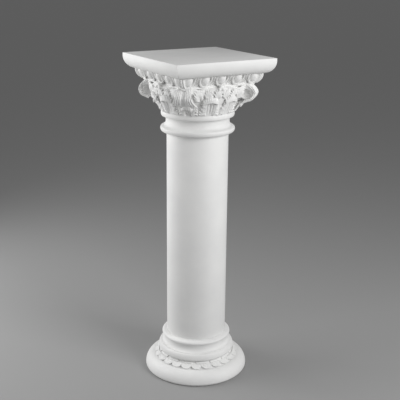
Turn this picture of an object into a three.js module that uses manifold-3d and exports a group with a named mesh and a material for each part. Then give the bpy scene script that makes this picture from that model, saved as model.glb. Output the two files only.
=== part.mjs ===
// A decorative column: a moulded base, a plain round shaft and a carved capital with a square top.
// Millimetres, +Z up. The origin is the middle of the underside, and the square top lies along X and Y.
import * as THREE from 'three';
import { mergeVertices } from 'three/addons/utils/BufferGeometryUtils.js';
import Module from 'manifold-3d';

const wasm = await Module();
wasm.setup();

// Main sizes
const overallHeight = 1062;
const slabWidth = 350;
const shaftDiameter = 198;
const baseDiameter = 345;
const baseHeight = 134.5;
const capitalHeight = 237;
const seatGap = 0.3;

// Base mouldings: heights above the floor, and how far each stands out from the shaft
const footInset = 9.5;
const lowerRoundWidestAt = 9;
const lowerRoundTop = 47;
const lowerRoundTopReach = 38;
const collarTop = 62;
const collarReach = 19;
const middleRoundFoot = 65.6;
const middleRoundWidestAt = 75;
const middleRoundTop = 91.5;
const middleRoundReach = 28.6;
const filletHeight = 2;
const filletReach = 20;
const hollowNarrowestAt = 108;
const hollowReach = 9;
const upperRoundFoot = 121;
const upperRoundWidestAt = 125;
const upperRoundReach = 16.5;
const upperRoundFootReach = 14.5;
const upperRoundTopReach = 4.5;
const shaftSeatFillet = 1.5;

// Collar of rounded scales on the lower round
const scaleCount = 24;
const scaleWidth = 34;
const scaleLength = 17;
const scaleRoot = 7.5;
const scaleThickness = 7;
const scaleStandsProud = 2.2;

// Neck mouldings of the capital: heights above its underside, and how far each stands out from the shaft
const neckFootReach = 13;
const bigRingWidestAt = 10;
const bigRingReach = 20;
const bigRingTop = 17;
const bigRingTopReach = 12.5;
const neckNarrowestAt = 33;
const neckReach = 2.5;
const smallRingFoot = 51;
const smallRingFootReach = 7.5;
const smallRingWidestAt = 57;
const smallRingReach = 18.2;
const smallRingUndersideReach = 16.2;
const smallRingTop = 68;
const smallRingTopReach = 13;

// Square top: depths below its upper face, and how far each level stands inside the slab's edge
const slabEdge = 12;
const slabDepth = 47;
const slabUndercut = 27;
const bandDepth = 79;
const bandTopInset = 34;
const bandFootInset = 52;
const lipDepth = 84;
const seatOverlap = 1;

// Egg and dart
const eggsPerSide = 5;
const eggPitch = 59.2;
const eggWidth = 34;
const eggHalfHeight = 25;
const eggStandsProud = 7;
const eggCentreDrop = 6;
const dartWidth = 7;
const dartStandsProud = 2;
const cornerDartWidth = 13;

// Volutes: depths below the upper face, reach inside the slab's corner, and how far each point stands inside the reach
const voluteTop = 78;
const voluteWidestAt = 110;
const voluteFoot = 141;
const voluteTipAt = 138;
const voluteCornerGap = 51.5;
const voluteRootInset = 52;
const voluteShoulderInset = 24;
const voluteFootInset = 26;
const voluteTipInset = 37;
const voluteWidth = 80;
const voluteStrap = 15;
const voluteChannel = 6;
const voluteCoreWidth = 46;
const voluteCoreInset = 6;
const voluteHollowRise = 14;

// Bell and leaves: heights above the capital's underside, and how far each stands out from the shaft
const bellFullAt = 110;
const bellFullReach = 29;
const bellTopReach = 23;
const leafRootAt = 62;
const leafRootReach = 15;
const leaf = { top: 130, droop: 22, tipReach: 46, stemWidth: 32, width: 66, thickness: 10, fromFaceCentre: 15 };
const spray = { top: 151, droop: 16, tipReach: 54, stemWidth: 24, width: 46, thickness: 12, fromFaceCentre: 29 };
const sprayRootAt = 105;
const sprayRootReach = 22;
const cornerLeaf = { top: 104, droop: 12, tipReach: 37, stemWidth: 38, width: 62, thickness: 10 };
const flowerDiameter = 26;
const flowerReach = 46;
const flowerDepth = 86;

const turnSegments = 28;
const shaftRadius = shaftDiameter / 2;
const baseRadius = baseDiameter / 2;
const slabHalf = slabWidth / 2;
const capitalFoot = overallHeight - capitalHeight;
const faces = 4;
const bandSlope = Math.atan2(bandFootInset - bandTopInset, bandDepth - slabDepth);

const plaster = { color: 0xe9e8e5, roughness: 0.62, metalness: 0 };

// Points of a quarter ellipse between two [radius, height] points.
// It leaves the first point level where levelFirst is true, and upright otherwise.
function quarter([r0, z0], [r1, z1], levelFirst, steps) {
  const points = [];
  for (let i = 0; i <= steps; i++) {
    const angle = (i / steps) * Math.PI / 2;
    const across = levelFirst ? Math.sin(angle) : 1 - Math.cos(angle);
    const up = levelFirst ? 1 - Math.cos(angle) : Math.sin(angle);
    points.push([r0 + (r1 - r0) * across, z0 + (z1 - z0) * up]);
  }
  return points;
}

// A body turned round the Z axis from a profile that starts and ends on the axis
function turned(profile) {
  const points = profile.map(([radius, height]) => new THREE.Vector2(radius, height));
  return new THREE.LatheGeometry(points, turnSegments).rotateX(Math.PI / 2);
}

// A closed skin over a row of rings that all have the same number of points
function skin(rings) {
  const count = rings[0].length;
  const positions = rings.flat().flatMap((point) => [point.x, point.y, point.z]);
  const index = [];
  for (let row = 0; row + 1 < rings.length; row++) {
    for (let i = 0; i < count; i++) {
      const a = row * count + i;
      const b = row * count + (i + 1) % count;
      index.push(a, b, b + count, a, b + count, a + count);
    }
  }
  for (const [row, turn] of [[0, -1], [rings.length - 1, 1]]) {
    const middle = new THREE.Vector3();
    rings[row].forEach((point) => middle.addScaledVector(point, 1 / count));
    const centre = positions.length / 3;
    positions.push(middle.x, middle.y, middle.z);
    for (let i = 0; i < count; i++) {
      const a = row * count + i;
      const b = row * count + (i + 1) % count;
      index.push(...(turn > 0 ? [centre, a, b] : [centre, b, a]));
    }
  }
  const geometry = new THREE.BufferGeometry();
  geometry.setAttribute('position', new THREE.Float32BufferAttribute(positions, 3));
  geometry.setIndex(index);
  return geometry;
}

function solidOf(geometry) {
  const bare = new THREE.BufferGeometry();
  bare.setAttribute('position', geometry.getAttribute('position'));
  bare.setIndex(geometry.getIndex());
  const merged = mergeVertices(bare, 1e-4);
  const corners = merged.getIndex().array;
  const triangles = [];
  for (let i = 0; i < corners.length; i += 3) {
    const [a, b, c] = corners.subarray(i, i + 3);
    if (a !== b && b !== c && c !== a) triangles.push(a, b, c);
  }
  return new wasm.Manifold(new wasm.Mesh({
    numProp: 3,
    vertProperties: merged.getAttribute('position').array,
    triVerts: new Uint32Array(triangles),
  }));
}

function geometryOf(solid) {
  const mesh = solid.getMesh();
  const geometry = new THREE.BufferGeometry();
  geometry.setAttribute('position', new THREE.BufferAttribute(mesh.vertProperties, 3));
  geometry.setIndex(new THREE.BufferAttribute(mesh.triVerts, 1));
  geometry.computeVertexNormals();
  return geometry;
}

// One solid from a body and all that stands on it
function joined(geometries) {
  const solids = geometries.map(solidOf);
  return geometryOf(solids.reduce((whole, solid) => whole.add(solid)));
}

// Copies of a geometry turned round the Z axis
function around(geometry, count, startAngle = 0) {
  const copies = [];
  for (let i = 0; i < count; i++) {
    copies.push(geometry.clone().rotateZ(startAngle + (i * 2 * Math.PI) / count));
  }
  return copies;
}

function named(name, geometry) {
  const mesh = new THREE.Mesh(geometry, new THREE.MeshStandardMaterial(plaster));
  mesh.name = name;
  return mesh;
}

// Base
function baseProfile() {
  const out = (reach) => shaftRadius + reach;
  return [
    [0, 0],
    ...quarter([baseRadius - footInset, 0], [baseRadius, lowerRoundWidestAt], true, 2),
    ...quarter([baseRadius, lowerRoundWidestAt], [out(lowerRoundTopReach), lowerRoundTop], false, 4).slice(1),
    [out(collarReach), collarTop],
    ...quarter([out(collarReach), middleRoundFoot], [out(middleRoundReach), middleRoundWidestAt], true, 2),
    ...quarter([out(middleRoundReach), middleRoundWidestAt], [out(filletReach), middleRoundTop], false, 3).slice(1),
    [out(filletReach), middleRoundTop + filletHeight],
    ...quarter([out(filletReach), middleRoundTop + filletHeight], [out(hollowReach), hollowNarrowestAt], true, 2).slice(1),
    ...quarter([out(hollowReach), hollowNarrowestAt], [out(upperRoundFootReach), upperRoundFoot], false, 2).slice(1),
    [out(upperRoundReach), upperRoundWidestAt],
    ...quarter([out(upperRoundReach), upperRoundWidestAt],
      [out(upperRoundTopReach), baseHeight - shaftSeatFillet], false, 3).slice(1),
    [out(upperRoundTopReach), baseHeight],
    [0, baseHeight],
  ];
}

// The collar lies on the slope between the lower round and the middle one
function collarSlope() {
  const inner = new THREE.Vector2(shaftRadius + collarReach, collarTop);
  const outer = new THREE.Vector2(shaftRadius + lowerRoundTopReach, lowerRoundTop);
  return { inner, tilt: Math.atan2(inner.y - outer.y, outer.x - inner.x) };
}

// A scale is cut flat, with its root at the origin and its round end towards +X, and laid on the slope
function scaleGeometry() {
  const { inner, tilt } = collarSlope();
  const half = scaleWidth / 2;
  const outline = new THREE.Shape();
  outline.moveTo(0, -half);
  outline.absellipse(0, 0, scaleLength, half, -Math.PI / 2, Math.PI / 2, false);
  outline.closePath();
  const scale = new THREE.ExtrudeGeometry(outline, { depth: scaleThickness, bevelEnabled: false, curveSegments: 2 });
  scale.translate(scaleRoot, 0, scaleStandsProud - scaleThickness);
  scale.rotateY(tilt);
  return scale.translate(inner.x, 0, inner.y);
}

const base = joined([
  turned(baseProfile()),
  ...around(scaleGeometry(), scaleCount),
]);

// Shaft
const shaft = turned([
  [0, baseHeight + seatGap],
  [shaftRadius, baseHeight + seatGap],
  [shaftRadius, capitalFoot - seatGap],
  [0, capitalFoot - seatGap],
]);

// Capital: neck rings and the bell that the leaves stand on
function bellProfile() {
  const at = (reach, height) => [shaftRadius + reach, capitalFoot + height];
  const bellTop = capitalHeight - lipDepth;
  return [
    [0, capitalFoot],
    at(neckFootReach, 0),
    ...quarter(at(neckFootReach, 0), at(bigRingReach, bigRingWidestAt), true, 2).slice(1),
    ...quarter(at(bigRingReach, bigRingWidestAt), at(bigRingTopReach, bigRingTop), false, 3).slice(1),
    at(neckReach, neckNarrowestAt),
    at(smallRingFootReach, smallRingFoot),
    ...quarter(at(smallRingUndersideReach, smallRingFoot), at(smallRingReach, smallRingWidestAt), true, 2),
    ...quarter(at(smallRingReach, smallRingWidestAt), at(smallRingTopReach, smallRingTop), false, 2).slice(1),
    ...quarter(at(smallRingTopReach, smallRingTop), at(bellFullReach, bellFullAt), true, 2).slice(1),
    at(bellTopReach, bellTop),
    [0, overallHeight - bandDepth],
  ];
}

// Square top: rings of four corners
function squareRing(half, depth) {
  const height = overallHeight - depth;
  return [[-1, -1], [1, -1], [1, 1], [-1, 1]].map(([x, y]) => new THREE.Vector3(x * half, y * half, height));
}

function slabGeometry() {
  const undercut = quarter([slabHalf - slabUndercut, slabDepth], [slabHalf, slabEdge], true, 5);
  return skin([...undercut.map(([half, depth]) => squareRing(half, depth)), squareRing(slabHalf, 0)]);
}

// The ground of the band slopes inwards as it goes down, and ends in an upright lip
function bandGeometry() {
  const foot = slabHalf - bandFootInset;
  return skin([
    squareRing(foot, lipDepth),
    squareRing(foot, bandDepth),
    squareRing(slabHalf - bandTopInset, slabDepth - seatOverlap),
  ]);
}

// Eggs stand on the side that faces -Y, and hang inwards as the band does
function eggGeometry(along) {
  const depth = eggWidth / 2;
  const egg = new THREE.SphereGeometry(1, 8, 4).rotateX(Math.PI / 2);
  egg.scale(eggWidth / 2, depth, eggHalfHeight);
  egg.rotateX(bandSlope / 2);
  return egg.translate(along, -(slabHalf - bandTopInset + eggStandsProud - depth), overallHeight - slabDepth - eggCentreDrop);
}

// A four-sided point that hangs down the slope of the band
function dartGeometry(width, reach, slope) {
  const length = (bandDepth - slabDepth) / Math.cos(slope);
  const dart = new THREE.ConeGeometry(width / 2, length, 4).rotateX(-Math.PI / 2);
  dart.translate(0, 0, -length / 2).rotateX(slope);
  return dart.translate(0, -reach, overallHeight - slabDepth + seatOverlap);
}

function dartAt(along) {
  return dartGeometry(dartWidth, slabHalf - bandTopInset + dartStandsProud, bandSlope).translate(along, 0, 0);
}

function cornerDart() {
  const mitreSlope = Math.atan(Math.SQRT2 * Math.tan(bandSlope));
  return dartGeometry(cornerDartWidth, (slabHalf - bandTopInset) * Math.SQRT2, mitreSlope).rotateZ(Math.PI / 4);
}

function eggAndDart() {
  const side = [];
  for (let i = 0; i < eggsPerSide; i++) {
    side.push(eggGeometry((i - (eggsPerSide - 1) / 2) * eggPitch));
    if (i > 0) side.push(dartAt((i - eggsPerSide / 2) * eggPitch));
  }
  side.push(cornerDart());
  return side.flatMap((geometry) => around(geometry, faces));
}

// Volutes: a broad channelled strap that curls down and in on each diagonal, towards -Y before it is turned
function volutePath() {
  const reach = slabHalf * Math.SQRT2 - voluteCornerGap;
  const at = (inset, depth) => [reach - inset, overallHeight - depth];
  return [
    at(voluteRootInset, voluteTop),
    ...quarter(at(voluteShoulderInset, voluteTop), at(0, voluteWidestAt), true, 3),
    ...quarter(at(0, voluteWidestAt), at(voluteFootInset, voluteFoot), false, 3).slice(1),
    at(voluteTipInset, voluteTipAt),
  ];
}

// The way out of a path on its left side, square to it at one of its points
function leftOf(path, i) {
  const [r0, z0] = path[Math.max(i - 1, 0)];
  const [r1, z1] = path[Math.min(i + 1, path.length - 1)];
  return new THREE.Vector2(z0 - z1, r1 - r0).normalize();
}

function voluteStrapGeometry() {
  const path = volutePath();
  const half = voluteWidth / 2;
  const topSpread = 0.6;
  const backSpread = 0.92;
  const section = [[-1, -0.5], [-0.8, 0], [-0.3, -0.2], [0, -1], [0.3, -0.2], [0.8, 0], [1, -0.5]];
  const rings = path.map(([radius, height], i) => {
    const outward = leftOf(path, i);
    const spread = THREE.MathUtils.lerp(topSpread, 1, i / (path.length - 1));
    const point = (across, lift) => new THREE.Vector3(
      -across * half * spread, -(radius + outward.x * lift), height + outward.y * lift);
    const outer = section.map(([across, lift]) => point(across, lift * voluteChannel));
    return [...outer, point(backSpread, -voluteStrap), point(-backSpread, -voluteStrap)];
  });
  return skin(rings);
}

function voluteCoreGeometry() {
  const path = volutePath();
  const hollowTop = overallHeight - voluteFoot + voluteHollowRise;
  const rim = path.slice(0, -1).map(([radius, height], i) => {
    const outward = leftOf(path, i);
    return [radius - outward.x * voluteCoreInset, height - outward.y * voluteCoreInset];
  });
  const outline = new THREE.Shape();
  outline.moveTo(shaftRadius, rim[0][1]);
  rim.forEach(([radius, height]) => outline.lineTo(radius, height));
  outline.lineTo(rim.at(-1)[0], hollowTop);
  outline.lineTo(shaftRadius, hollowTop);
  outline.closePath();
  const core = new THREE.ExtrudeGeometry(outline, { depth: voluteCoreWidth, bevelEnabled: false });
  core.translate(0, 0, -voluteCoreWidth / 2);
  return core.rotateX(Math.PI / 2).rotateZ(-Math.PI / 2);
}

// A leaf that grows up the bell on the side that faces -Y, and curls outwards.
// Each station along it gives [reach from the shaft, height above the capital's foot, half width, thickness].
function leafGeometry(stations) {
  const across = [-1, -0.45, 0, 0.45, 1];
  const lifts = [-0.5, 0.1, -0.2, 0.1, -0.5];
  const rings = stations.map(([reach, height, half, thickness], i) => {
    const outward = leftOf(stations, i).negate();
    const radius = shaftRadius + reach;
    const point = (share, lift) => {
      const turn = (share * half) / radius;
      const r = radius + outward.x * lift;
      return new THREE.Vector3(r * Math.sin(turn), -r * Math.cos(turn), capitalFoot + height + outward.y * lift);
    };
    const outer = across.map((share, k) => point(share, lifts[k] * thickness));
    return [...outer, point(0, -thickness)];
  });
  return skin(rings);
}

// The course that every leaf follows: shares of its reach, rise, droop, growth in width, and thickness
const leafCourse = [
  [0, 0, 0, 0, 1],
  [0.4, 0.4, 0, 0.6, 1],
  [0.68, 0.74, 0, 1, 1],
  [0.88, 0.95, 0, 0.75, 0.9],
  [1, 1, 0.25, 0.2, 0.8],
  [1, 1, 1, -0.5, 0.6],
];

function leafStations(sizes, rootReach, rootAt) {
  const { lerp } = THREE.MathUtils;
  return leafCourse.map(([out, rise, droop, grown, thick]) => [
    lerp(rootReach, sizes.tipReach, out),
    lerp(rootAt, sizes.top, rise) - droop * sizes.droop,
    lerp(sizes.stemWidth, sizes.width, grown) / 2,
    sizes.thickness * thick,
  ]);
}

function flowerGeometry() {
  const flower = new THREE.CylinderGeometry(flowerDiameter / 4, flowerDiameter / 2, bellTopReach, 8);
  return flower.translate(0, bellTopReach / 2 - shaftRadius - flowerReach, overallHeight - flowerDepth);
}

const cornerTurn = Math.PI / 4;
const lowerLeafGeometry = leafGeometry(leafStations(leaf, leafRootReach, leafRootAt));
const sprayGeometry = leafGeometry(leafStations(spray, sprayRootReach, sprayRootAt));
const cornerLeafGeometry = leafGeometry(leafStations(cornerLeaf, leafRootReach, leafRootAt));
const carving = [-1, 1].flatMap((side) => [
  ...around(lowerLeafGeometry, faces, side * THREE.MathUtils.degToRad(leaf.fromFaceCentre)),
  ...around(sprayGeometry, faces, side * THREE.MathUtils.degToRad(spray.fromFaceCentre)),
]);
carving.push(...around(cornerLeafGeometry, faces, cornerTurn));
carving.push(...around(voluteStrapGeometry(), faces, cornerTurn));
carving.push(...around(voluteCoreGeometry(), faces, cornerTurn));
carving.push(...around(flowerGeometry(), faces));

const capital = joined([
  turned(bellProfile()),
  slabGeometry(),
  bandGeometry(),
  ...eggAndDart(),
  ...carving,
]);

const column = new THREE.Group();
column.add(named('base', base));
column.add(named('shaft', shaft));
column.add(named('capital', capital));

export default column;
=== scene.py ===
import math

import bpy
from mathutils import Matrix, Vector


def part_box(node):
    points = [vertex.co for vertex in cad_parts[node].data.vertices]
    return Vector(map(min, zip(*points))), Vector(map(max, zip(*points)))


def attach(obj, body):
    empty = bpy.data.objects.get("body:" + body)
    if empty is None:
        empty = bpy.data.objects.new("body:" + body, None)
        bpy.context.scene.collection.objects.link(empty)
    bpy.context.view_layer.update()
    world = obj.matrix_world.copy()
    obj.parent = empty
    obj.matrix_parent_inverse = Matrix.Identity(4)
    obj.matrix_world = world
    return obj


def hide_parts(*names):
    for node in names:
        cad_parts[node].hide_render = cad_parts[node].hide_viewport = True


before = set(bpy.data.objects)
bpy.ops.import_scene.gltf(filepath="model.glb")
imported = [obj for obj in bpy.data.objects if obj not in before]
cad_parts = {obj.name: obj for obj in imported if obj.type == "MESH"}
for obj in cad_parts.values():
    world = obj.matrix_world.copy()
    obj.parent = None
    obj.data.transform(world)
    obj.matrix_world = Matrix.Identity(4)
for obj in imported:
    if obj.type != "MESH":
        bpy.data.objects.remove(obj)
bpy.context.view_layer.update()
print("frame loaded")

# Sizes in the dictionaries are in millimetres, those of the camera, floor and lights in metres, and angles in degrees
mm = 0.001
quarterTurn = math.pi / 2
eighthTurn = math.pi / 4
diagonal = math.sqrt(2)

baseLow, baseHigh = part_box("base")
shaftLow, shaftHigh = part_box("shaft")
capitalLow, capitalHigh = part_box("capital")
shaftRadius = shaftHigh.x
slabHalf = capitalHigh.x
columnTop = capitalHigh.z
capitalFoot = capitalLow.z


# Camera: it stands a little to the right of the column's front corner and looks down on it
camera = {"lens": 71.51, "sensor": 36.0, "clipEnd": 50, "distance": 2.4894, "height": 1.3612,
          "azimuth": -31.25, "yaw": 0.2266, "pitch": 17.1827, "roll": 0.5412}


def addCamera():
    turn = math.radians(camera["azimuth"])
    data = bpy.data.cameras.new("columnCamera")
    data.lens = camera["lens"]
    data.sensor_width = camera["sensor"]
    data.clip_end = camera["clipEnd"]
    eye = bpy.data.objects.new("columnCamera", data)
    bpy.context.scene.collection.objects.link(eye)
    aim = (Matrix.Rotation(turn - math.radians(camera["yaw"]), 4, "Z")
           @ Matrix.Rotation(math.radians(90 - camera["pitch"]), 4, "X")
           @ Matrix.Rotation(math.radians(camera["roll"]), 4, "Z"))
    eye.rotation_euler = aim.to_euler()
    eye.location = (math.sin(turn) * camera["distance"], -math.cos(turn) * camera["distance"], camera["height"])
    bpy.context.scene.camera = eye


addCamera()
print("camera placed")


# Shared modelling steps. arcSteps says how many lengths a quarter arc is cut into.
weldDistance = 0.01 * mm
sameRadius = 1e-7
arcSteps = {"edge": 3, "lip": 5, "small": 6, "short": 8, "middle": 10, "slab": 14, "round": 18}


def clearSelection():
    if bpy.context.object and bpy.context.object.mode != "OBJECT":
        bpy.ops.object.mode_set(mode="OBJECT")
    bpy.ops.object.select_all(action="DESELECT")


def pickOnly(piece):
    clearSelection()
    piece.select_set(True)
    bpy.context.view_layer.objects.active = piece


def applyPlace(piece):
    pickOnly(piece)
    bpy.ops.object.transform_apply(location=True, rotation=True, scale=True)


def applyModifier(piece, kind, **settings):
    pickOnly(piece)
    modifier = piece.modifiers.new(kind.lower(), kind)
    for key, value in settings.items():
        setattr(modifier, key, value)
    bpy.ops.object.modifier_apply(modifier=modifier.name)


def turnNormalsOut(piece):
    pickOnly(piece)
    bpy.ops.object.mode_set(mode="EDIT")
    bpy.ops.mesh.select_all(action="SELECT")
    bpy.ops.mesh.remove_doubles(threshold=weldDistance)
    bpy.ops.mesh.normals_make_consistent(inside=False)
    bpy.ops.object.mode_set(mode="OBJECT")


def joinPieces(name, pieces):
    clearSelection()
    for piece in pieces:
        piece.select_set(True)
    bpy.context.view_layer.objects.active = pieces[0]
    bpy.ops.object.join()
    whole = bpy.context.object
    whole.name = name
    whole.data.name = name
    return whole


def copyTurned(piece, angle, mirrored=False):
    twin = piece.copy()
    twin.data = piece.data.copy()
    bpy.context.scene.collection.objects.link(twin)
    if mirrored:
        twin.scale.x = -1
    twin.rotation_euler.z = angle
    applyPlace(twin)
    if mirrored:
        turnNormalsOut(twin)
    return twin


# One finished face of the capital is repeated on the other three
def onAllFaces(face):
    return [face] + [copyTurned(face, i * quarterTurn) for i in (1, 2, 3)]


# Points of a quarter ellipse between two (radius, height) points, leaving the first one level or upright
def quarterArc(start, end, levelFirst, steps):
    points = []
    for i in range(steps + 1):
        angle = i / steps * quarterTurn
        across = math.sin(angle) if levelFirst else 1 - math.cos(angle)
        up = 1 - math.cos(angle) if levelFirst else math.sin(angle)
        points.append((start[0] + (end[0] - start[0]) * across, start[1] + (end[1] - start[1]) * up))
    return points


def inMetres(levels):
    return [(radius * mm, height * mm) for radius, height in levels]


# A ring of any number of sides is extruded from level to level, and sized at each
def extrudeThroughLevels(name, sides, levels, startTurn=0.0, reachFactor=1.0):
    clearSelection()
    radius, height = levels[0]
    bpy.ops.mesh.primitive_circle_add(vertices=sides, radius=radius * reachFactor, fill_type="NGON",
                                      location=(0, 0, height), rotation=(0, 0, startTurn))
    piece = bpy.context.object
    piece.name = name
    applyPlace(piece)
    bpy.ops.object.mode_set(mode="EDIT")
    bpy.ops.mesh.select_all(action="SELECT")
    for nextRadius, nextHeight in levels[1:]:
        bpy.ops.mesh.extrude_region_move(TRANSFORM_OT_translate={"value": (0, 0, nextHeight - height)})
        if abs(nextRadius - radius) > sameRadius:
            share = nextRadius / radius
            bpy.ops.transform.resize(value=(share, share, 1), center_override=(0, 0, nextHeight))
        radius, height = nextRadius, nextHeight
    bpy.ops.object.mode_set(mode="OBJECT")
    turnNormalsOut(piece)
    return piece


# A square form is given by half its side and its depth below the column's top
def extrudeSquare(name, levels):
    placed = [(half * mm, columnTop - depth * mm) for half, depth in levels]
    return extrudeThroughLevels(name, 4, placed, eighthTurn, diagonal)


# A smooth way through a list of points of any size, at a share from 0 to 1 of its length
def alongPoints(points, share):
    place = min(max(share, 0), 1) * (len(points) - 1)
    i = min(int(place), len(points) - 2)
    t = place - i
    a, b = points[max(i - 1, 0)], points[i]
    c, d = points[i + 1], points[min(i + 2, len(points) - 1)]
    return [0.5 * (2 * q + (r - p) * t + (2 * p - 5 * q + 4 * r - s) * t * t + (3 * q - p - 3 * r + s) * t ** 3)
            for p, q, r, s in zip(a, b, c, d)]


# A grid is laid over a surface: place(across, along) gives a point for across from -1 to 1 and along from 0 to 1
def layGrid(name, grid, place, thickness):
    clearSelection()
    bpy.ops.mesh.primitive_grid_add(x_subdivisions=grid[0], y_subdivisions=grid[1], size=2)
    piece = bpy.context.object
    piece.name = name
    for vertex in piece.data.vertices:
        vertex.co = place(vertex.co.x, (vertex.co.y + 1) / 2)
    applyModifier(piece, "SOLIDIFY", thickness=thickness, offset=-1)
    return piece


# Base: the same mouldings as the solid, with finer steps
baseSizes = {"sides": 144, "footInset": 9.5, "widestAt": 9, "roundTop": 45.5, "roundTopReach": 38,
             "collarTop": 62, "collarReach": 19, "middleFoot": 65.6, "middleWidestAt": 75, "middleTop": 91.5,
             "middleReach": 28.6, "fillet": 2, "filletReach": 20, "hollowAt": 108, "hollowReach": 9,
             "upperFoot": 121, "upperLip": 2, "upperWidestAt": 125, "upperReach": 16.5, "upperTopReach": 4.5,
             "seatFillet": 1.5}
scaleSizes = {"count": 24, "halfWidth": 17.3, "root": 10, "length": 16.5, "proud": 1.6, "rootProud": 0.6, "bow": 0.9,
              "rim": 0.7, "rimAt": 0.95, "rimWidth": 0.1, "furrowAt": 0.76, "furrowWidth": 0.08,
              "vein": 0.7, "veinWidth": 0.14, "sink": 4, "grid": (22, 16)}
blockSizes = {"count": 16, "width": 35, "length": 7.8, "height": 9, "proud": 3.2, "edge": 1.0, "edgeSteps": 3}


def baseLevels():
    b = baseSizes
    out = shaftRadius / mm
    top = baseHigh.z / mm
    widest = (baseHigh.x / mm, b["widestAt"])
    roundTop = (out + b["roundTopReach"], b["roundTop"])
    middleFoot = (out + b["collarReach"], b["middleFoot"])
    middleWidest = (out + b["middleReach"], b["middleWidestAt"])
    filletTop = (out + b["filletReach"], b["middleTop"] + b["fillet"])
    hollow = (out + b["hollowReach"], b["hollowAt"])
    upperFoot = (out + b["upperReach"] - b["upperLip"], b["upperFoot"])
    upperWidest = (out + b["upperReach"], b["upperWidestAt"])
    levels = quarterArc((widest[0] - b["footInset"], 0), widest, True, arcSteps["short"])
    levels += quarterArc(widest, roundTop, False, arcSteps["round"])[1:]
    levels += [(out + b["collarReach"], b["collarTop"])]
    levels += quarterArc(middleFoot, middleWidest, True, arcSteps["short"])
    levels += quarterArc(middleWidest, (out + b["filletReach"], b["middleTop"]), False, arcSteps["middle"])[1:]
    levels += [filletTop]
    levels += quarterArc(filletTop, hollow, True, arcSteps["middle"])[1:]
    levels += quarterArc(hollow, upperFoot, False, arcSteps["short"])[1:]
    levels += [upperWidest]
    levels += quarterArc(upperWidest, (out + b["upperTopReach"], top - b["seatFillet"]), False, arcSteps["short"])[1:]
    levels += [(out + b["upperTopReach"], top)]
    return inMetres(levels)


# A point on the collar's slope, by its way round from +X, its way down from the inner edge and its lift off the slope
def collarPoint(across, fromInner, lift):
    b = baseSizes
    inner = Vector((shaftRadius / mm + b["collarReach"], b["collarTop"]))
    outer = Vector((shaftRadius / mm + b["roundTopReach"], b["roundTop"]))
    slope = (outer - inner).normalized()
    normal = Vector((-slope.y, slope.x))
    spot = inner + slope * fromInner + normal * lift
    angle = across / spot.x
    return Vector((spot.x * math.cos(angle), spot.x * math.sin(angle), spot.y)) * mm


def collarScale():
    s = scaleSizes

    def place(across, along):
        reach = s["length"] * along * math.sqrt(1 - s["bow"] * across ** 2)
        edge = max(along, abs(across))
        rim = s["rim"] * (math.exp(-((edge - s["rimAt"]) / s["rimWidth"]) ** 2)
                          - math.exp(-((edge - s["furrowAt"]) / s["furrowWidth"]) ** 2))
        vein = s["vein"] * math.exp(-(across / s["veinWidth"]) ** 2) * (1 - along)
        lift = s["rootProud"] + (s["proud"] - s["rootProud"]) * along + rim - vein
        return collarPoint(across * s["halfWidth"], s["root"] + reach, lift)

    return layGrid("collarScale", s["grid"], place, s["sink"] * mm)


def collarBlock():
    k = blockSizes
    clearSelection()
    bpy.ops.mesh.primitive_cube_add(size=1, scale=(k["length"] * mm, k["width"] * mm, k["height"] * mm))
    block = bpy.context.object
    applyPlace(block)
    applyModifier(block, "BEVEL", width=k["edge"] * mm, segments=k["edgeSteps"])
    for vertex in block.data.vertices:
        x, y, z = vertex.co / mm
        vertex.co = collarPoint(y, x + k["length"] / 2, z - k["height"] / 2 + k["proud"])
    return block


def makeBase():
    parts = [extrudeThroughLevels("base", baseSizes["sides"], baseLevels())]
    for original, count in ((collarScale(), scaleSizes["count"]), (collarBlock(), blockSizes["count"])):
        parts += [copyTurned(original, i * 2 * math.pi / count) for i in range(count)]
        bpy.data.objects.remove(original)
    return joinPieces("baseMoulding", parts)


base = makeBase()
print("base made")


# Shaft: a plain drum with a hair's rounding at both ends
shaftSizes = {"sides": 160, "edge": 0.6}


def makeShaft():
    edge = shaftSizes["edge"] * mm
    low, high = shaftLow.z, shaftHigh.z
    levels = quarterArc((shaftRadius - edge, low), (shaftRadius, low + edge), True, arcSteps["edge"])
    levels += quarterArc((shaftRadius, high - edge), (shaftRadius - edge, high), False, arcSteps["edge"])
    return extrudeThroughLevels("shaftDrum", shaftSizes["sides"], levels)


shaft = makeShaft()
print("shaft made")


# Capital, neck: rings that overhang the shaft
neckSizes = {"sides": 144, "footReach": 13, "bigWidestAt": 10, "bigReach": 20, "bigTop": 17, "bigTopReach": 14.5,
             "stepHeight": 1.4, "stepReach": 12.5, "narrowAt": 35, "narrowReach": 2.5, "smallFoot": 51,
             "smallFootReach": 7.5, "smallLip": 2.5, "smallWidestAt": 58, "smallReach": 18.2, "smallTop": 68,
             "smallTopReach": 14, "innerReach": -20}


def makeNeck():
    n = neckSizes

    def at(reach, height):
        return shaftRadius / mm + reach, capitalFoot / mm + height

    bigWidest = at(n["bigReach"], n["bigWidestAt"])
    step = at(n["stepReach"], n["bigTop"] + n["stepHeight"])
    narrow = at(n["narrowReach"], n["narrowAt"])
    smallWidest = at(n["smallReach"], n["smallWidestAt"])
    levels = [at(n["innerReach"], 0)]
    levels += quarterArc(at(n["footReach"], 0), bigWidest, True, arcSteps["short"])
    levels += quarterArc(bigWidest, at(n["bigTopReach"], n["bigTop"]), False, arcSteps["short"])[1:]
    levels += [step]
    levels += quarterArc(step, narrow, True, arcSteps["short"])[1:]
    levels += quarterArc(narrow, at(n["smallFootReach"], n["smallFoot"]), False, arcSteps["lip"])[1:]
    levels += quarterArc(at(n["smallReach"] - n["smallLip"], n["smallFoot"]), smallWidest, True, arcSteps["small"])
    levels += quarterArc(smallWidest, at(n["smallTopReach"], n["smallTop"]), False, arcSteps["short"])[1:]
    levels += [at(n["innerReach"], n["smallTop"])]
    return extrudeThroughLevels("neck", n["sides"], inMetres(levels))


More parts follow.
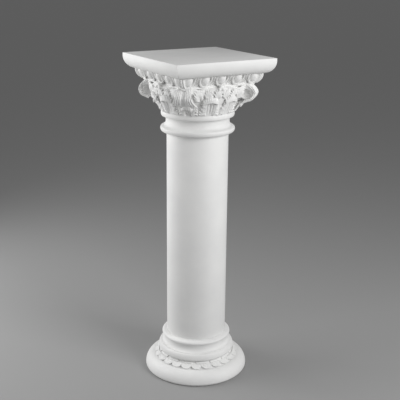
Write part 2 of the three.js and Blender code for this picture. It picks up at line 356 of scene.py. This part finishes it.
# Capital, square top: a slab with a round underside over the ground of the egg band
slabSizes = {"edge": 9, "depth": 47, "undercut": 31, "arris": 0.7, "arrisSteps": 2, "arrisAngle": 50}
bandSizes = {"foot": 79, "topInset": 34, "footInset": 52, "tuck": 1, "lip": 4, "lipFoot": 84,
             "underInset": 10, "underDrop": 9}


def makeSlab():
    s = slabSizes
    half = slabHalf / mm
    levels = quarterArc((half - s["undercut"], s["depth"]), (half, s["edge"]), True, arcSteps["slab"]) + [(half, 0)]
    slab = extrudeSquare("slab", levels)
    applyModifier(slab, "BEVEL", width=s["arris"] * mm, segments=s["arrisSteps"],
                  limit_method="ANGLE", angle_limit=math.radians(s["arrisAngle"]))
    return slab


def makeBand():
    b = bandSizes
    half = slabHalf / mm
    foot = half - b["footInset"]
    lip = foot + b["lip"]
    levels = [(foot - b["underInset"], b["lipFoot"] + b["underDrop"])]
    levels += quarterArc((foot, b["lipFoot"]), (lip, b["lipFoot"] - b["lip"]), True, arcSteps["edge"])
    levels += [(lip, b["foot"]), (foot, b["foot"] - b["lip"])]
    levels += [(half - b["topInset"], slabSizes["depth"] - b["tuck"])]
    return extrudeSquare("band", levels)


# Capital, egg and dart: eggs with a raised rim, and a dart between each two
eggSizes = {"perSide": 5, "width": 34, "halfHeight": 23, "proud": 6, "drop": 6, "tiltShare": 0.9,
            "segments": 24, "rings": 14}
eggRimSizes = {"gap": 3.0, "thickness": 2.8, "proud": 4.0, "segments": 30, "sides": 6}
dartSizes = {"width": 11, "proud": 4.5, "edge": 0.5, "edgeSteps": 2}
cornerRibSizes = {"ribs": ((-5.5, 4, -3), (0, 5.5, 0), (5.5, 4, -3)), "topInset": 28.5, "cuts": 10, "depth": 22}


def bandSlope():
    b = bandSizes
    return math.atan2(b["footInset"] - b["topInset"], b["foot"] - slabSizes["depth"])


def eggHeight():
    return columnTop - (slabSizes["depth"] + eggSizes["drop"]) * mm


def makeEgg(along):
    e = eggSizes
    halfWidth = e["width"] / 2
    reach = slabHalf - (bandSizes["topInset"] - e["proud"] + halfWidth) * mm
    clearSelection()
    bpy.ops.mesh.primitive_uv_sphere_add(segments=e["segments"], ring_count=e["rings"], radius=1)
    egg = bpy.context.object
    egg.scale = (halfWidth * mm, halfWidth * mm, e["halfHeight"] * mm)
    egg.rotation_euler.x = bandSlope() * e["tiltShare"]
    egg.location = (along, -reach, eggHeight())
    applyPlace(egg)
    return egg


def makeEggRim(along):
    e = eggSizes
    r = eggRimSizes
    halfWidth = e["width"] / 2
    reach = slabHalf - (bandSizes["topInset"] + e["drop"] * math.tan(bandSlope()) - r["proud"]) * mm
    clearSelection()
    bpy.ops.mesh.primitive_torus_add(major_segments=r["segments"], minor_segments=r["sides"],
                                     major_radius=1, minor_radius=r["thickness"] * 2 / e["width"])
    rim = bpy.context.object
    rim.rotation_euler.x = quarterTurn
    applyPlace(rim)
    rim.scale = ((halfWidth + r["gap"]) * mm, halfWidth * mm, (e["halfHeight"] + r["gap"]) * mm)
    rim.rotation_euler.x = bandSlope()
    rim.location = (along, -reach, eggHeight())
    applyPlace(rim)
    return rim


def makeDart(along):
    d = dartSizes
    length = (bandSizes["foot"] - slabSizes["depth"]) / math.cos(bandSlope())
    reach = slabHalf - (bandSizes["topInset"] - d["proud"]) * mm
    clearSelection()
    bpy.ops.mesh.primitive_cone_add(vertices=4, radius1=d["width"] / 2 * mm, depth=length * mm,
                                    location=(0, 0, -length / 2 * mm), rotation=(math.pi, 0, 0))
    dart = bpy.context.object
    applyPlace(dart)
    applyModifier(dart, "BEVEL", width=d["edge"] * mm, segments=d["edgeSteps"])
    dart.rotation_euler.x = bandSlope()
    dart.location = (along, -reach, columnTop - (slabSizes["depth"] - bandSizes["tuck"]) * mm)
    applyPlace(dart)
    return dart


# A rib on the mitre of the band bulges outwards as the eggs do
def makeCornerRib(shift, width, proud):
    c = cornerRibSizes
    bulge = (bandSizes["footInset"] - c["topInset"]) * diagonal
    footReach = slabHalf / mm * diagonal - bandSizes["footInset"] * diagonal
    height = bandSizes["foot"] - slabSizes["depth"]
    clearSelection()
    bpy.ops.mesh.primitive_cube_add(size=1)
    rib = bpy.context.object
    bpy.ops.object.mode_set(mode="EDIT")
    bpy.ops.mesh.subdivide(number_cuts=c["cuts"])
    bpy.ops.object.mode_set(mode="OBJECT")
    for vertex in rib.data.vertices:
        x, y, z = vertex.co
        down = 0.5 - z
        rounding = math.sqrt(max(1 - (2 * x) ** 2, 0))
        reach = footReach + bulge * math.sqrt(1 - down ** 2) + proud + (rounding - 1) * width / 2
        reach -= (y + 0.5) * c["depth"]
        vertex.co = Vector((shift + x * width, -reach, columnTop / mm - slabSizes["depth"] - down * height)) * mm
    return rib


def makeEggAndDart():
    perSide = eggSizes["perSide"]
    pitch = 2 * (slabHalf - slabSizes["undercut"] * mm) / perSide
    side = []
    for i in range(perSide):
        along = (i - (perSide - 1) / 2) * pitch
        side += [makeEgg(along), makeEggRim(along)]
        if i:
            side.append(makeDart(along - pitch / 2))
    for shift, width, proud in cornerRibSizes["ribs"]:
        rib = makeCornerRib(shift, width, proud)
        side.append(copyTurned(rib, eighthTurn))
        bpy.data.objects.remove(rib)
    return onAllFaces(joinPieces("eggAndDartSide", side))


# Capital, bell: the round body that the leaves stand on, as (reach from the shaft, height above the capital's foot)
bellSizes = {"sides": 96, "levels": [(14, 56), (17, 68), (22.5, 82), (28.5, 95), (34, 110), (38, 124), (41, 138),
                                     (42, 150), (30, 157)]}


def makeBell():
    levels = [(shaftRadius / mm + reach, capitalFoot / mm + height) for reach, height in bellSizes["levels"]]
    return extrudeThroughLevels("bell", bellSizes["sides"], inMetres(levels))


# Capital, leaves. They are unrolled round the bell: a point is (across, reach from the shaft, height above the foot).
lowerLeaf = {
    "body": {"path": [(14, 65), (20, 74), (26, 84), (31, 94), (36, 104), (39, 114)],
             "half": [(13,), (16,), (19,), (20,), (20,), (16,)], "channel": 4, "ridge": 1.6, "thickness": 14},
    "lobes": [
        {"root": (10, 17, 69), "tips": [(19, 19, 69), (24, 21, 72), (27, 23, 77), (25, 25, 83)]},
        {"root": (10, 22, 81), "tips": [(23, 26, 82), (28, 28, 87), (30, 31, 93), (26, 33, 99)]},
        {"root": (9, 28, 93), "tips": [(24, 33, 97), (28, 36, 102), (29, 39, 109), (24, 42, 115)]}],
    "curl": {"path": [(0.4, 28, 108), (0.6, 35, 119), (0.8, 42, 127), (1.0, 48, 127), (1.08, 50, 120), (1.06, 47, 110)],
             "spread": 21, "fingers": 9, "fingerWidth": 3.1, "arch": 8, "back": 6,
             "web": 4, "webSink": 3.4, "webShare": 0.88}}
cornerLeaf = {
    "body": {"path": [(14, 65), (17, 70), (24, 79), (31, 88), (36, 97)],
             "half": [(10,), (13,), (16,), (18,), (17,)], "channel": 3, "ridge": 1.6, "thickness": 14},
    "lobes": [
        {"root": (8, 18, 67), "tips": [(17, 20, 68), (21, 22, 71), (24, 26, 76), (22, 30, 82)]},
        {"root": (9, 25, 77), "tips": [(22, 31, 82), (27, 35, 87), (29, 39, 93), (26, 42, 99)]},
        {"root": (8, 32, 89), "tips": [(24, 40, 95), (27, 43, 99), (24, 44, 103)]}],
    "curl": {"path": [(0.4, 25, 86), (0.6, 34, 96), (0.8, 41, 101), (0.95, 45, 100), (1.0, 46, 97), (1.0, 45, 93)],
             "spread": 16, "fingers": 7, "fingerWidth": 2.9, "arch": 7, "back": 3,
             "web": 4, "webSink": 3, "webShare": 0.9}}
lobeSizes = {"width": 2.9, "rise": 2.5, "lift": 2}
curlSizes = {"grid": (16, 20), "flatness": 0.75, "taper": 0.6}
leafBodySizes = {"grid": (30, 24), "channelWidth": 0.24, "ridgePitch": 0.45, "edgePower": 6}
fingerSizes = {"segments": 10, "rings": 12, "lookAhead": 0.04, "outward": Vector((0, 1, 0.2))}
outerSpray = {"root": (-8, 31, 114), "mid": 0.55, "rise": 6, "width": 3.1,
              "tips": [(-14, 42, 133), (-12, 46, 143), (-7, 49, 150), (-1, 52, 153), (5, 54, 152), (10, 55, 146),
                       (13, 55, 138), (13, 51, 130), (10, 46, 122)]}
innerSpray = {"root": (0, 33, 118), "mid": 0.5, "rise": 5, "width": 3.0,
              "tips": [(-17, 42, 134), (-16, 44, 142), (-11, 46, 149), (-4, 47, 153), (3, 47, 153), (9, 46, 149),
                       (14, 44, 142)]}
frond = {"stem": [(0, 15, 65), (0, 19, 78), (0, 26, 96), (0, 32, 112), (0, 38, 140)], "stemWidth": 3.6,
         "stemTaper": 0.8, "pairs": 9, "foot": 68, "pitch": 8, "reachFoot": 18, "reachStep": 2.1, "width": 3.5,
         "spread": 11, "rise": 7, "lift": 5, "midSpread": 0.6, "midRise": 0.7, "midLift": 4}
stalk = {"path": [(48, 41, 143), (74, 48, 148), (112, 60, 155)], "ribs": 3, "ribGap": 5.5, "ribBack": 1.5,
         "width": 3.6, "flatness": 0.9, "taper": 0.9}


def unrolled(across, reach, height):
    radius = shaftRadius / mm + reach
    angle = across / radius
    return Vector((radius * math.sin(angle), -radius * math.cos(angle), capitalFoot / mm + height)) * mm


# One finger of a leaf: a rounded, tapering ridge that follows a path
def makeFinger(path, width, flatness=0.8, taper=0.55):
    f = fingerSizes
    clearSelection()
    bpy.ops.mesh.primitive_uv_sphere_add(segments=f["segments"], ring_count=f["rings"], radius=1)
    finger = bpy.context.object
    for vertex in finger.data.vertices:
        share = math.acos(max(-1, min(1, -vertex.co.z))) / math.pi
        turn = math.atan2(vertex.co.y, vertex.co.x)
        spot = Vector(alongPoints(path, share))
        ahead = Vector(alongPoints(path, share + f["lookAhead"]))
        behind = Vector(alongPoints(path, share - f["lookAhead"]))
        forward = (ahead - behind).normalized()
        outward = (f["outward"] - forward * forward.dot(f["outward"])).normalized()
        sideways = forward.cross(outward)
        half = width * math.sqrt(max(math.sin(math.pi * share), 0)) * (taper + (1 - taper) * share)
        vertex.co = unrolled(*(spot + sideways * math.cos(turn) * half + outward * math.sin(turn) * half * flatness))
    return finger


def makeLobes(lobes):
    fingers = []
    for lobe in lobes:
        root = Vector(lobe["root"])
        for tip in lobe["tips"]:
            middle = (root + Vector(tip)) / 2 + Vector((0, lobeSizes["rise"], lobeSizes["lift"]))
            for side in (1, -1):
                path = [(side * x, y, z) for x, y, z in (root, middle, Vector(tip))]
                fingers.append(makeFinger(path, lobeSizes["width"]))
    return fingers


def makeCurl(curl):
    c = curlSizes

    def pathAt(side):
        return [(side * curl["spread"] * share, reach - curl["back"] * side ** 2, height - curl["arch"] * side ** 2)
                for share, reach, height in curl["path"]]

    def place(across, along):
        x, reach, height = alongPoints(pathAt(across), along * curl["webShare"])
        return unrolled(x, reach - curl["webSink"], height - curl["webSink"])

    fingers = [layGrid("curlWeb", c["grid"], place, curl["web"] * mm)]
    for i in range(curl["fingers"]):
        side = 2 * i / (curl["fingers"] - 1) - 1
        fingers.append(makeFinger(pathAt(side), curl["fingerWidth"], c["flatness"], c["taper"]))
    return fingers


def makeLeafBody(body):
    g = leafBodySizes

    def place(across, along):
        reach, height = alongPoints(body["path"], along)
        half = alongPoints(body["half"], along)[0]
        side = abs(across)
        lift = -body["channel"] * math.exp(-(across / g["channelWidth"]) ** 2)
        lift += body["ridge"] * (-math.cos(2 * math.pi * side / g["ridgePitch"]) - side ** g["edgePower"])
        return unrolled(across * half, reach + lift, height)

    return layGrid("leafBody", g["grid"], place, body["thickness"] * mm)


def makeLeaf(name, leaf):
    return joinPieces(name, [makeLeafBody(leaf["body"])] + makeLobes(leaf["lobes"]) + makeCurl(leaf["curl"]))


def makeSpray(name, spray):
    root = Vector(spray["root"])
    fingers = []
    for tip in spray["tips"]:
        middle = root.lerp(Vector(tip), spray["mid"]) + Vector((0, spray["rise"], 0))
        fingers.append(makeFinger([tuple(root), tuple(middle), tip], spray["width"]))
    return joinPieces(name, fingers)


# Small fronds fill the narrow gaps between the leaves
def makeFrond():
    f = frond
    fingers = [makeFinger(f["stem"], f["stemWidth"], taper=f["stemTaper"])]
    for i in range(f["pairs"]):
        height = f["foot"] + i * f["pitch"]
        reach = f["reachFoot"] + i * f["reachStep"]
        for side in (-1, 1):
            middle = (side * f["spread"] * f["midSpread"], reach + f["midLift"], height + f["rise"] * f["midRise"])
            tip = (side * f["spread"], reach + f["lift"], height + f["rise"])
            fingers.append(makeFinger([(0, reach, height), middle, tip], f["width"]))
    return joinPieces("frond", fingers)


# Ribbed stalks run under the square top from the middle of a face to the volutes
def makeStalk():
    s = stalk
    ribs = []
    for i in range(s["ribs"]):
        path = [(x, reach - i * s["ribBack"], height - i * s["ribGap"]) for x, reach, height in s["path"]]
        ribs.append(makeFinger(path, s["width"], s["flatness"], s["taper"]))
    return joinPieces("stalk", ribs)


# Capital, volutes. They follow a path on the diagonal: a point is (reach from the middle, depth below the top).
voluteSizes = {"path": [(138, 75), (155, 74), (169, 80), (183, 92), (190, 106), (185.5, 120), (175.5, 130),
                        (164, 134), (153, 139)],
               "halfTop": 20, "halfFoot": 34, "halfTip": 36, "flare": 2.5, "footShare": 0.7, "tipShort": 0.9,
               "thickness": 6, "channel": 7, "channelWidth": 0.26, "channelPower": 4, "edge": 2.5, "edgePower": 8,
               "grooves": (0.42, 0.63, 0.84), "groove": 3.2, "grooveWidth": 0.05, "lookAhead": 0.02, "grid": (60, 60)}
voluteCoreSizes = {"half": 21, "inset": 4, "inner": [(148, 128), (128, 122), (112, 100), (118, 80)],
                   "middle": (169, 107), "steps": 16}
voluteHollow = {"reach": 158, "depth": 110, "halfWidth": 9, "halfReach": 17, "halfHeight": 15,
                "segments": 32, "rings": 16}


def volutePoint(across, along):
    v = voluteSizes
    along *= v["tipShort"] + (1 - v["tipShort"]) * across ** 2
    reach, depth = alongPoints(v["path"], along)
    ahead = alongPoints(v["path"], along + v["lookAhead"])
    behind = alongPoints(v["path"], along - v["lookAhead"])
    forward = Vector((ahead[0] - behind[0], behind[1] - ahead[1])).normalized()
    outward = Vector((-forward.y, forward.x))
    side = abs(across)
    lift = -v["channel"] * math.exp(-(across / v["channelWidth"]) ** v["channelPower"])
    for groove in v["grooves"]:
        lift -= v["groove"] * math.exp(-((side - groove) / v["grooveWidth"]) ** 2)
    lift -= v["edge"] * side ** v["edgePower"]
    foot = v["footShare"]
    if along < foot:
        half = v["halfTop"] + (v["halfFoot"] - v["halfTop"]) * (along / foot) ** v["flare"]
    else:
        half = v["halfFoot"] + (v["halfTip"] - v["halfFoot"]) * (along - foot) / (1 - foot)
    radius = reach + outward.x * lift
    level = columnTop / mm - depth + outward.y * lift
    return Vector((-across * half, -radius, level)) * mm


def makeVoluteCore():
    c = voluteCoreSizes
    clearSelection()
    outline = [alongPoints(voluteSizes["path"], i / c["steps"]) for i in range(c["steps"] + 1)] + c["inner"]
    bpy.ops.mesh.primitive_circle_add(vertices=len(outline), radius=1, fill_type="NGON")
    core = bpy.context.object
    for vertex, (reach, depth) in zip(core.data.vertices, outline):
        inward = (Vector(c["middle"]) - Vector((reach, depth))).normalized() * c["inset"]
        vertex.co = Vector((-c["half"], -(reach + inward.x), columnTop / mm - depth - inward.y)) * mm
    bpy.ops.object.mode_set(mode="EDIT")
    bpy.ops.mesh.select_all(action="SELECT")
    bpy.ops.mesh.extrude_region_move(TRANSFORM_OT_translate={"value": (2 * c["half"] * mm, 0, 0)})
    bpy.ops.object.mode_set(mode="OBJECT")
    turnNormalsOut(core)
    return core


# Each side of a volute is hollowed by a ball
def hollowVolute(core, side):
    h = voluteHollow
    clearSelection()
    bpy.ops.mesh.primitive_uv_sphere_add(segments=h["segments"], ring_count=h["rings"], radius=1)
    ball = bpy.context.object
    ball.scale = (h["halfWidth"] * mm, h["halfReach"] * mm, h["halfHeight"] * mm)
    ball.location = (side * voluteCoreSizes["half"] * mm, -h["reach"] * mm, columnTop - h["depth"] * mm)
    applyPlace(ball)
    applyModifier(core, "BOOLEAN", operation="DIFFERENCE", object=ball, solver="EXACT")
    bpy.data.objects.remove(ball)


def makeVolute():
    strap = layGrid("voluteStrap", voluteSizes["grid"], volutePoint, voluteSizes["thickness"] * mm)
    turnNormalsOut(strap)
    core = makeVoluteCore()
    for side in (-1, 1):
        hollowVolute(core, side)
    return joinPieces("volute", [strap, core])


# Capital, flowers: one in the middle of each face
flowerSizes = {"petals": 6, "petal": 6.5, "flatness": 0.7, "spread": 8.5, "heart": 5.5, "heartProud": 3,
               "reach": 43, "depth": 86, "segments": 16, "rings": 10}


def flowerBall(radius, place, flatness):
    f = flowerSizes
    clearSelection()
    bpy.ops.mesh.primitive_uv_sphere_add(segments=f["segments"], ring_count=f["rings"], radius=radius * mm,
                                         scale=(1, flatness, 1), location=place)
    ball = bpy.context.object
    applyPlace(ball)
    return ball


def makeFlower():
    f = flowerSizes
    place = Vector((0, -(shaftRadius + f["reach"] * mm), columnTop - f["depth"] * mm))
    parts = []
    for i in range(f["petals"]):
        angle = i * 2 * math.pi / f["petals"]
        shift = Vector((math.cos(angle), 0, math.sin(angle))) * f["spread"] * mm
        parts.append(flowerBall(f["petal"], place + shift, f["flatness"]))
    parts.append(flowerBall(f["heart"], place + Vector((0, -f["heartProud"] * mm, 0)), 1))
    clearSelection()
    bpy.ops.mesh.primitive_cylinder_add(vertices=f["segments"], radius=f["spread"] * mm, depth=f["reach"] * mm,
                                        location=place + Vector((0, f["reach"] / 2 * mm, 0)),
                                        rotation=(quarterTurn, 0, 0))
    parts.append(bpy.context.object)
    applyPlace(parts[-1])
    return joinPieces("flower", parts)


# Capital, carving: the leaves, volutes and flowers of all faces run together, as one moulding does
leafPlaces = {"lower": 15, "outerSpray": 31, "innerSprays": (6.5, 18.5), "fronds": (-29.5, -25, 0, 25, 29.5)}
carvingSizes = {"voxel": 1.0, "smooth": 0.3, "smoothTimes": 1, "triangles": 138000}


def makeCarvedFace():
    face = []
    lower = makeLeaf("lowerLeaf", lowerLeaf)
    outer = makeSpray("outerSpray", outerSpray)
    inner = makeSpray("innerSpray", innerSpray)
    corner = makeLeaf("cornerLeaf", cornerLeaf)
    volute = makeVolute()
    for side in (-1, 1):
        face.append(copyTurned(lower, math.radians(side * leafPlaces["lower"])))
        face.append(copyTurned(outer, math.radians(side * leafPlaces["outerSpray"]), side < 0))
        face += [copyTurned(inner, math.radians(side * angle), side < 0) for angle in leafPlaces["innerSprays"]]
    face += [copyTurned(corner, eighthTurn), copyTurned(volute, eighthTurn), makeFlower()]
    gapFrond = makeFrond()
    rightStalk = makeStalk()
    face += [copyTurned(rightStalk, 0), copyTurned(rightStalk, 0, True)]
    face += [copyTurned(gapFrond, math.radians(angle)) for angle in leafPlaces["fronds"]]
    for original in (lower, outer, inner, corner, volute, gapFrond, rightStalk):
        bpy.data.objects.remove(original)
    return joinPieces("carvedFace", face)


def makeCarving():
    c = carvingSizes
    carving = joinPieces("carving", onAllFaces(makeCarvedFace()) + [makeBell()])
    applyModifier(carving, "REMESH", mode="VOXEL", voxel_size=c["voxel"] * mm, adaptivity=0)
    applyModifier(carving, "SMOOTH", factor=c["smooth"], iterations=c["smoothTimes"])
    triangles = 2 * len(carving.data.polygons)
    print("carving has", triangles, "triangles before it is thinned")
    applyModifier(carving, "DECIMATE", ratio=min(1, c["triangles"] / triangles))
    return carving


def makeCapital():
    neck = makeNeck()
    slab = makeSlab()
    band = makeBand()
    print("neck and square top made")
    eggs = makeEggAndDart()
    print("egg and dart made")
    carving = makeCarving()
    print("carving made")
    return joinPieces("capitalCarving", [neck, slab, band, carving] + eggs)


capital = makeCapital()
print("capital made")


# White moulding: matte and primed, with a faint grain and very slight unevenness of tone
whiteMoulding = {"light": (0.90, 0.90, 0.89, 1), "dark": (0.85, 0.85, 0.845, 1), "roughness": 0.55,
                 "toneScale": 9.0, "toneDetail": 4, "toneFrom": 0.35, "toneTo": 0.65,
                 "grain": {"scale": 900.0, "strength": 0.05, "height": 0.2},
                 "waves": {"scale": 60.0, "strength": 0.04, "height": 1.0}}
smoothAngles = {"round": 32, "carved": 38}


def addBump(material, place, relief):
    nodes = material.node_tree.nodes
    links = material.node_tree.links
    noise = nodes.new("ShaderNodeTexNoise")
    noise.inputs["Scale"].default_value = relief["scale"]
    bump = nodes.new("ShaderNodeBump")
    bump.inputs["Strength"].default_value = relief["strength"]
    bump.inputs["Distance"].default_value = relief["height"] * mm
    links.new(place.outputs["Object"], noise.inputs["Vector"])
    links.new(noise.outputs["Fac"], bump.inputs["Height"])
    return bump


def mouldingMaterial():
    w = whiteMoulding
    material = bpy.data.materials.new("whiteMoulding")
    material.use_nodes = True
    nodes = material.node_tree.nodes
    links = material.node_tree.links
    shader = nodes["Principled BSDF"]
    shader.inputs["Roughness"].default_value = w["roughness"]
    place = nodes.new("ShaderNodeTexCoord")
    tone = nodes.new("ShaderNodeTexNoise")
    tone.inputs["Scale"].default_value = w["toneScale"]
    tone.inputs["Detail"].default_value = w["toneDetail"]
    ramp = nodes.new("ShaderNodeValToRGB")
    ramp.color_ramp.elements[0].position = w["toneFrom"]
    ramp.color_ramp.elements[0].color = w["dark"]
    ramp.color_ramp.elements[1].position = w["toneTo"]
    ramp.color_ramp.elements[1].color = w["light"]
    links.new(place.outputs["Object"], tone.inputs["Vector"])
    links.new(tone.outputs["Fac"], ramp.inputs["Fac"])
    links.new(ramp.outputs["Color"], shader.inputs["Base Color"])
    grainBump = addBump(material, place, w["grain"])
    waveBump = addBump(material, place, w["waves"])
    links.new(waveBump.outputs["Normal"], grainBump.inputs["Normal"])
    links.new(grainBump.outputs["Normal"], shader.inputs["Normal"])
    return material


moulding = mouldingMaterial()
for piece, node, surface in ((base, "base", "round"), (shaft, "shaft", "round"), (capital, "capital", "carved")):
    pickOnly(piece)
    bpy.ops.object.shade_smooth_by_angle(angle=math.radians(smoothAngles[surface]))
    piece.data.materials.clear()
    piece.data.materials.append(moulding)
    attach(piece, "root")
    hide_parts(node)
    print(piece.name, sum(len(face.vertices) - 2 for face in piece.data.polygons), "triangles")


# Floor and soft studio light, placed as seen from the camera
floorSizes = {"side": 160.0, "tone": (0.35, 0.35, 0.35, 1), "roughness": 0.9}
softboxes = [
    {"name": "leftSoftbox", "turn": -88, "distance": 1.8, "height": 1.15, "aim": 0.85,
     "size": (1.2, 1.5), "power": 18.5},
    {"name": "leftRearSoftbox", "turn": -115, "distance": 1.8, "height": 1.0, "aim": 0.75,
     "size": (1.0, 1.5), "power": 10.5},
    {"name": "rightSoftbox", "turn": 75, "distance": 1.9, "height": 0.95, "aim": 0.75,
     "size": (1.4, 1.5), "power": 3.5},
    {"name": "rightHighSoftbox", "turn": 50, "distance": 2.2, "height": 1.6, "aim": 0.8,
     "size": (1.2, 1.2), "power": 33},
]
worldTone = {"color": (1, 1, 1, 1), "strength": 0.27}


def addFloor():
    clearSelection()
    bpy.ops.mesh.primitive_plane_add(size=floorSizes["side"], location=(0, 0, baseLow.z))
    floor = bpy.context.object
    floor.name = "paleFloor"
    material = bpy.data.materials.new("paleFloor")
    material.use_nodes = True
    shader = material.node_tree.nodes["Principled BSDF"]
    shader.inputs["Base Color"].default_value = floorSizes["tone"]
    shader.inputs["Roughness"].default_value = floorSizes["roughness"]
    floor.data.materials.append(material)


def addLights():
    for light in softboxes:
        data = bpy.data.lights.new(light["name"], "AREA")
        data.shape = "RECTANGLE"
        data.size, data.size_y = light["size"]
        data.energy = light["power"]
        lamp = bpy.data.objects.new(light["name"], data)
        bpy.context.scene.collection.objects.link(lamp)
        turn = math.radians(camera["azimuth"] + light["turn"])
        lamp.location = (math.sin(turn) * light["distance"], -math.cos(turn) * light["distance"], light["height"])
        lamp.rotation_euler = (Vector((0, 0, light["aim"])) - lamp.location).to_track_quat("-Z", "Y").to_euler()
    world = bpy.data.worlds.new("studio")
    world.use_nodes = True
    world.node_tree.nodes["Background"].inputs["Color"].default_value = worldTone["color"]
    world.node_tree.nodes["Background"].inputs["Strength"].default_value = worldTone["strength"]
    bpy.context.scene.world = world


addFloor()
addLights()
bpy.context.scene.view_settings.view_transform = "Standard"
print("floor and lights placed")
